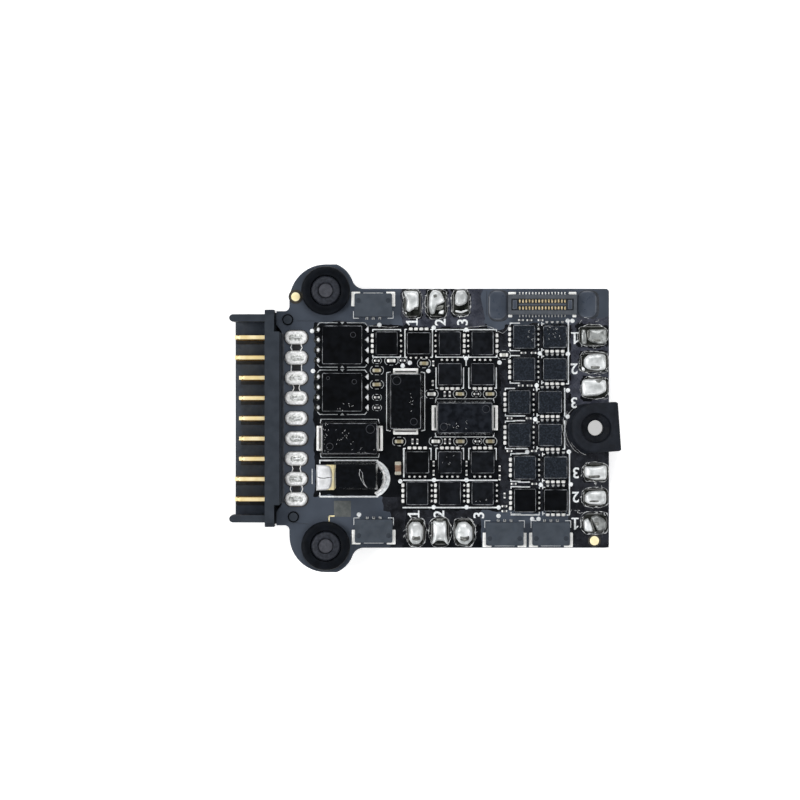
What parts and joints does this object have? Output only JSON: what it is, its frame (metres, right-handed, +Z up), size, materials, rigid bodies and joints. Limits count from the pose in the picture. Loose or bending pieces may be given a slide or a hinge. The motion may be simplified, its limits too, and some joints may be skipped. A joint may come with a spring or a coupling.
{
  "type": "drone speed controller board",
  "caption": "Flat circuit board for a small quadcopter, with motor drive transistors, a bladed battery connector, rubber mounts and signal sockets.",
  "frame": {"origin": "under the middle of the whole outline, on the flat plane that the dampers, rear pad and battery connector rest on", "axes": "+X from the battery connector to the rear pad, +Z up out of the component side, +Y completes the right-handed frame"},
  "size_m": [0.0484, 0.0382, 0.0064],
  "materials": {
    "solder_mask": "matte blue-grey solder mask on glass-fibre board",
    "housing_plastic": "fine matt moulded nylon",
    "gold_plate": "gold-plated contact",
    "rubber": "matt black rubber",
    "black_steel": "black oxide",
    "chip_epoxy": "black moulding compound under clear coat",
    "capacitor_case": "black moulded case under clear coat",
    "signal_plastic": "blue-grey moulded plastic",
    "ferrite": "matt grey ferrite"
  },
  "bodies": {
    "root": {"pcb": "solder_mask", "battery_connector_housing": "housing_plastic", "battery_blade_1": "gold_plate", "battery_blade_2": "gold_plate", "battery_blade_3": "gold_plate", "battery_blade_4": "gold_plate", "battery_blade_5": "gold_plate", "battery_blade_6": "gold_plate", "battery_blade_7": "gold_plate", "battery_blade_8": "gold_plate", "battery_blade_9": "gold_plate", "ear_damper_upper": "rubber", "ear_damper_lower": "rubber", "ear_screw_upper": "black_steel", "ear_screw_lower": "black_steel", "rear_mount_pad": "rubber", "mosfet_upper_1": "chip_epoxy", "mosfet_upper_2": "chip_epoxy", "mosfet_upper_3": "chip_epoxy", "mosfet_upper_4": "chip_epoxy", "mosfet_upper_5": "chip_epoxy", "mosfet_upper_6": "chip_epoxy", "mosfet_lower_1": "chip_epoxy", "mosfet_lower_2": "chip_epoxy", "mosfet_lower_3": "chip_epoxy", "mosfet_lower_4": "chip_epoxy", "mosfet_lower_5": "chip_epoxy", "mosfet_lower_6": "chip_epoxy", "mosfet_rear_1": "chip_epoxy", "mosfet_rear_2": "chip_epoxy", "mosfet_rear_3": "chip_epoxy", "mosfet_rear_4": "chip_epoxy", "mosfet_rear_5": "chip_epoxy", "mosfet_rear_6": "chip_epoxy", "mosfet_rear_7": "chip_epoxy", "mosfet_rear_8": "chip_epoxy", "mosfet_rear_9": "chip_epoxy", "mosfet_rear_10": "chip_epoxy", "mosfet_rear_11": "chip_epoxy", "mosfet_rear_12": "chip_epoxy", "power_mosfet_1": "chip_epoxy", "power_mosfet_2": "chip_epoxy", "moulded_capacitor_1": "capacitor_case", "moulded_capacitor_2": "capacitor_case", "moulded_capacitor_3": "capacitor_case", "bulk_capacitor": "capacitor_case", "board_to_board_connector": "signal_plastic", "signal_connector_1": "signal_plastic", "signal_connector_2": "signal_plastic", "signal_connector_3": "signal_plastic", "signal_connector_4": "signal_plastic", "motor_controller_1": "chip_epoxy", "motor_controller_2": "chip_epoxy", "motor_controller_3": "chip_epoxy", "motor_controller_4": "chip_epoxy", "regulator_chip": "chip_epoxy", "power_inductor": "ferrite"}
  },
  "joints": []
}
